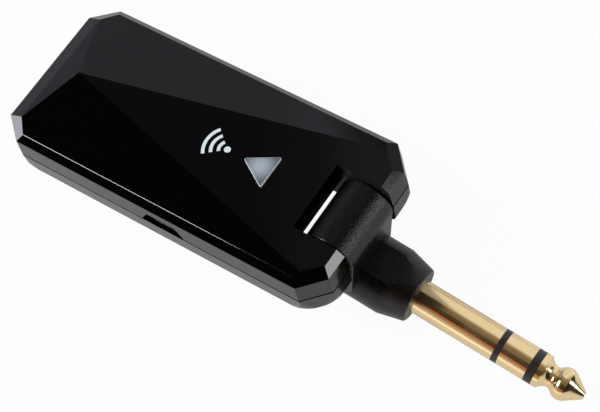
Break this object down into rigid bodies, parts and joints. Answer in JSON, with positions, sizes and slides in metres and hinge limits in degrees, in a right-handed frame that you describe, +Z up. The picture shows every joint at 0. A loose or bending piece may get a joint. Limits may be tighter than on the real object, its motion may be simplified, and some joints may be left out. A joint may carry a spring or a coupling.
{
  "type": "wireless guitar transmitter",
  "caption": "Wireless transmitter for an electric guitar: a flat faceted battery case with a friction-held swivel elbow that carries a 6.35 mm jack plug.",
  "frame": {"origin": "centre of the case's flat underside", "axes": "+X along the case towards the plug, +Y across it away from the charging socket, +Z up to the button face"},
  "size_m": [0.1114, 0.0326, 0.0313],
  "materials": {
    "case_black": "polished black ABS",
    "swivel_black": "fine sparkled satin black nylon",
    "button_clear": "smoked translucent acrylic",
    "black_screw": "black oxide",
    "foam": "soft foam tape",
    "cell_wrap": "heat-sealed pouch foil",
    "lead_red": "soft insulation",
    "nylon_white": "moulded nylon",
    "nylon_black": "moulded, satin",
    "board_green": "solder mask",
    "plated_steel": "bright tin plate",
    "chip_black": "moulded epoxy",
    "ceramic": "fired ceramic",
    "led_lens": "clear lens over phosphor",
    "pin_steel": "turned stainless steel",
    "spring_steel": "stamped spring steel",
    "bush_white": "moulded acetal",
    "gold_plate": "polished pale gold plate",
    "tinned_brass": "tinned"
  },
  "bodies": {
    "case": {"bottom_cover": "case_black", "battery_pad": "foam", "battery_cell": "cell_wrap", "battery_leads": "lead_red", "battery_connector": "nylon_white", "main_circuit_board": "board_green", "charging_socket_shell": "plated_steel", "charging_socket_tongue": "nylon_black", "rf_shield_can": "plated_steel", "radio_chip": "chip_black", "microcontroller": "chip_black", "audio_converter": "chip_black", "charge_controller": "chip_black", "crystal_oscillator": "plated_steel", "chip_antenna": "ceramic", "capacitors": "ceramic", "status_led": "led_lens", "switch_body": "nylon_black", "board_leads": "lead_red", "top_cover": "case_black", "case_screws": "black_screw", "hinge_bush_near": "bush_white", "hinge_bush_far": "bush_white", "friction_washer_near": "spring_steel", "friction_washer_far": "spring_steel"},
    "button": {"button_cap": "button_clear", "switch_plunger": "nylon_white"},
    "swivel": {"swivel_housing": "swivel_black", "swivel_back_cover": "swivel_black", "hinge_pin_near": "pin_steel", "hinge_pin_far": "pin_steel", "pin_clip_near": "spring_steel", "pin_clip_far": "spring_steel", "plug_sleeve": "gold_plate", "rear_insulator": "nylon_black", "plug_ring": "gold_plate", "front_insulator": "nylon_black", "plug_tip": "gold_plate", "sleeve_lug": "tinned_brass", "ring_lug": "tinned_brass", "tip_lug": "tinned_brass", "plug_leads": "lead_red"}
  },
  "joints": [
    {"name": "plug_hinge", "type": "hinge", "parent": "case", "child": "swivel", "pos_m": [0.03065, 0, 0.00563], "axis": [0, 1, 0], "range_deg": [-189.4, 28.6]},
    {"name": "button_press", "type": "slide", "parent": "case", "child": "button", "axis": [0, 0, -1], "range_m": [0, 0.0003], "stiffness_N_per_m": 3000, "springref_m": -0.0001}
  ]
}
